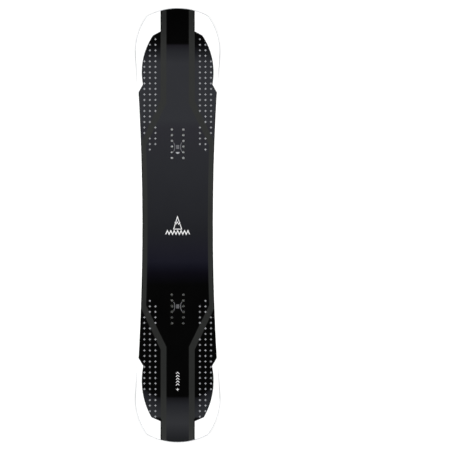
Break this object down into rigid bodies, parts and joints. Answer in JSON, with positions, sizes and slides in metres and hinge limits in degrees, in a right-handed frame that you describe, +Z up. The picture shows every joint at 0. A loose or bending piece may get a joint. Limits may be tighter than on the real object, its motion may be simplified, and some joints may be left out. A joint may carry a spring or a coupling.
{
  "type": "snowboard",
  "caption": "Bare twin-tip snowboard with triple-facet base, steel edges, white shoulders and two packs of threaded binding inserts.",
  "frame": {"origin": "on the ground under the middle of the board, lying on its base", "axes": "+X towards the nose along the centreline, +Y towards the heel side, +Z up through the topsheet"},
  "size_m": [1.524, 0.2998, 0.0467],
  "materials": {
    "base_black": "stone-ground sintered polyethylene",
    "inlay_white": "stone-ground sintered polyethylene",
    "edge_steel": "ground steel",
    "foil_rubber": "matte",
    "glass_laminate": "glass fibre in epoxy",
    "core_wood": "planed",
    "sidewall_white": "satin",
    "spacer_plastic": "matte",
    "insert_steel": "zinc-plated",
    "carbon_tape": "carbon fibre in epoxy",
    "topsheet_dark": "satin print under a clear film",
    "shoulder_white": "satin print under a clear film"
  },
  "bodies": {
    "root": {"base_sheet": "base_black", "nose_tree_inlay": "inlay_white", "tail_tree_inlay": "inlay_white", "nose_cross_inlay": "inlay_white", "tail_cross_inlay": "inlay_white", "toe_edge": "edge_steel", "heel_edge": "edge_steel", "toe_foil": "foil_rubber", "heel_foil": "foil_rubber", "bottom_glass": "glass_laminate", "core_centre": "core_wood", "core_toe_inner": "core_wood", "core_toe_middle": "core_wood", "core_toe_outer": "core_wood", "core_heel_inner": "core_wood", "core_heel_middle": "core_wood", "core_heel_outer": "core_wood", "toe_sidewall": "sidewall_white", "heel_sidewall": "sidewall_white", "nose_spacer": "spacer_plastic", "tail_spacer": "spacer_plastic", "nose_toe_insert_1": "insert_steel", "nose_toe_insert_2": "insert_steel", "nose_toe_insert_3": "insert_steel", "nose_toe_insert_4": "insert_steel", "nose_toe_insert_5": "insert_steel", "nose_toe_insert_6": "insert_steel", "nose_heel_insert_1": "insert_steel", "nose_heel_insert_2": "insert_steel", "nose_heel_insert_3": "insert_steel", "nose_heel_insert_4": "insert_steel", "nose_heel_insert_5": "insert_steel", "nose_heel_insert_6": "insert_steel", "tail_toe_insert_1": "insert_steel", "tail_toe_insert_2": "insert_steel", "tail_toe_insert_3": "insert_steel", "tail_toe_insert_4": "insert_steel", "tail_toe_insert_5": "insert_steel", "tail_toe_insert_6": "insert_steel", "tail_heel_insert_1": "insert_steel", "tail_heel_insert_2": "insert_steel", "tail_heel_insert_3": "insert_steel", "tail_heel_insert_4": "insert_steel", "tail_heel_insert_5": "insert_steel", "tail_heel_insert_6": "insert_steel", "top_glass": "glass_laminate", "toe_carbon_tape": "carbon_tape", "heel_carbon_tape": "carbon_tape", "topsheet": "topsheet_dark", "nose_toe_shoulder": "shoulder_white", "nose_heel_shoulder": "shoulder_white", "tail_toe_shoulder": "shoulder_white", "tail_heel_shoulder": "shoulder_white"}
  },
  "joints": []
}
